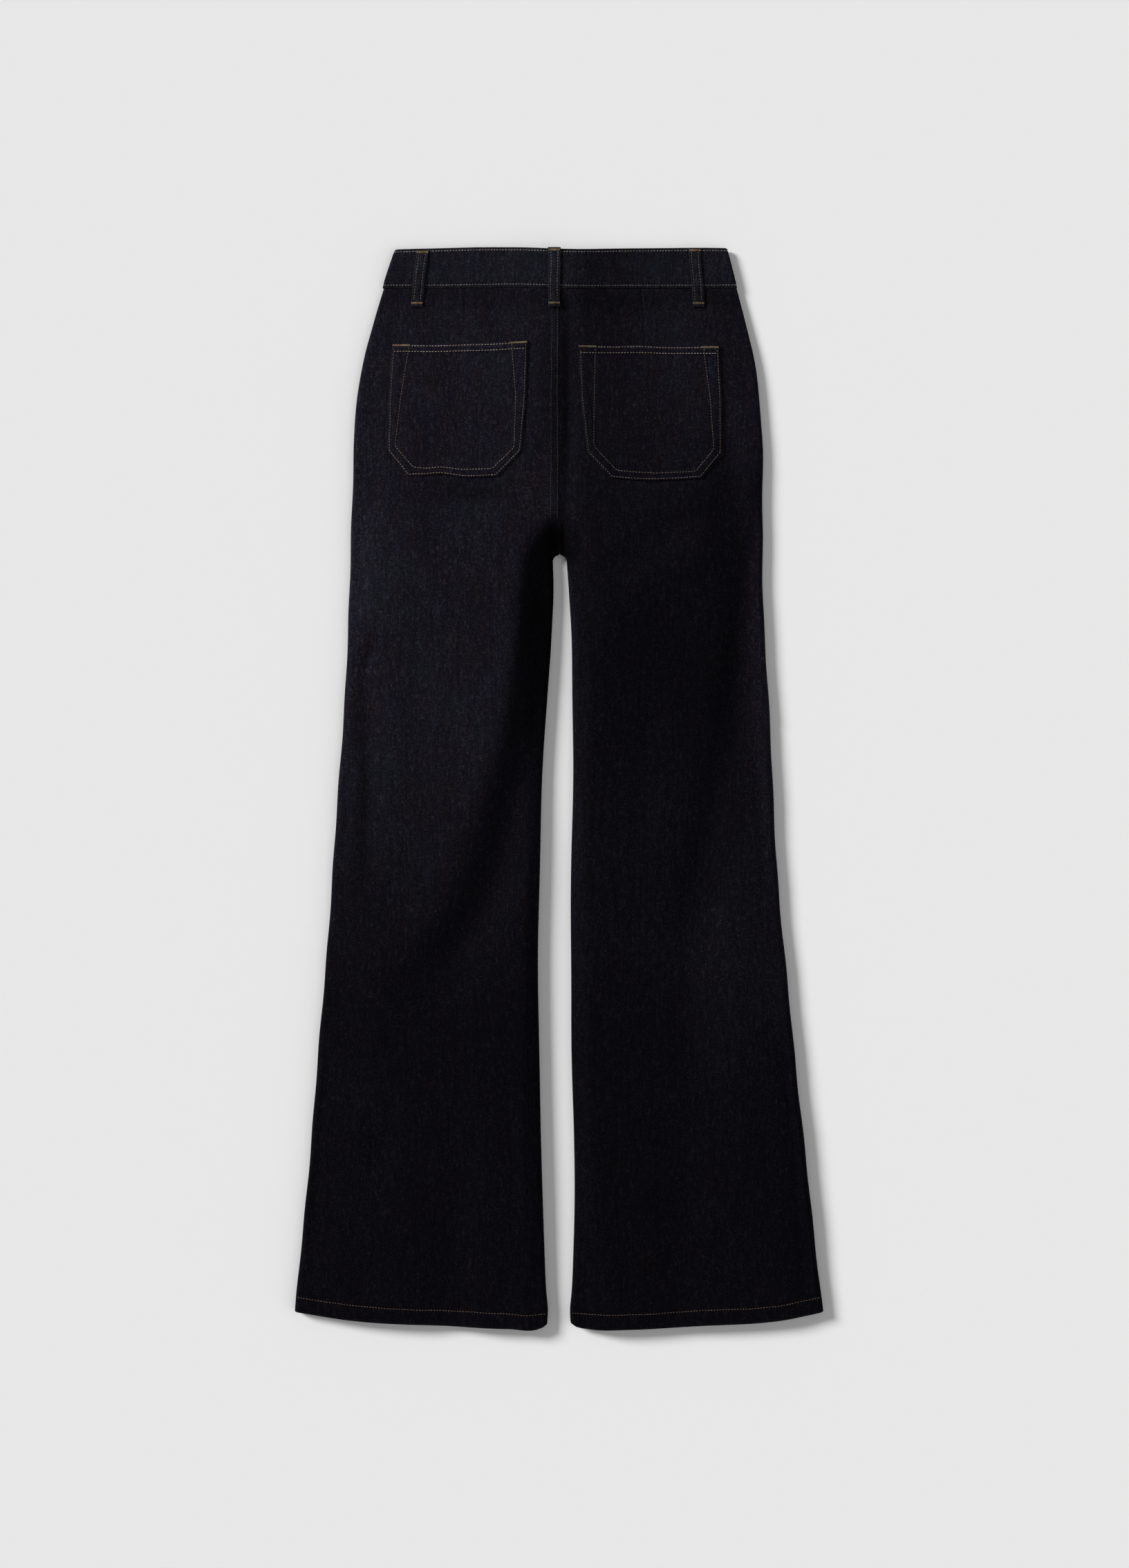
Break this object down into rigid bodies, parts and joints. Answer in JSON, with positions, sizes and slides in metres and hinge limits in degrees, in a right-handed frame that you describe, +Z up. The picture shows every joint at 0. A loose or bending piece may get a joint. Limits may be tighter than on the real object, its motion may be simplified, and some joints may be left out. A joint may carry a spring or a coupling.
{
  "type": "flared jeans",
  "caption": "High-waisted flared denim jeans laid flat on their front: seat with patch pockets, belt loops, felled seat seam, wide legs flaring to stitched hems",
  "frame": {"origin": "middle of the bounding box in plan, on the surface that the jeans lie on", "axes": "+Y runs up the garment from the hems to the waist, +X towards the wearer's right side, +Z up out of the surface, from the front to the back of the jeans"},
  "size_m": [0.5343, 1.0943, 0.0188],
  "materials": {
    "denim": "matte",
    "button_metal": "satin"
  },
  "bodies": {
    "root": {"back_panel_left": "denim", "back_panel_right": "denim", "front_panel_left": "denim", "front_panel_right": "denim", "waistband": "denim", "back_pocket_left": "denim", "back_pocket_right": "denim", "belt_loop_back_left": "denim", "belt_loop_back_centre": "denim", "belt_loop_back_right": "denim", "belt_loop_front_left": "denim", "belt_loop_front_right": "denim", "waist_button": "button_metal"}
  },
  "joints": []
}
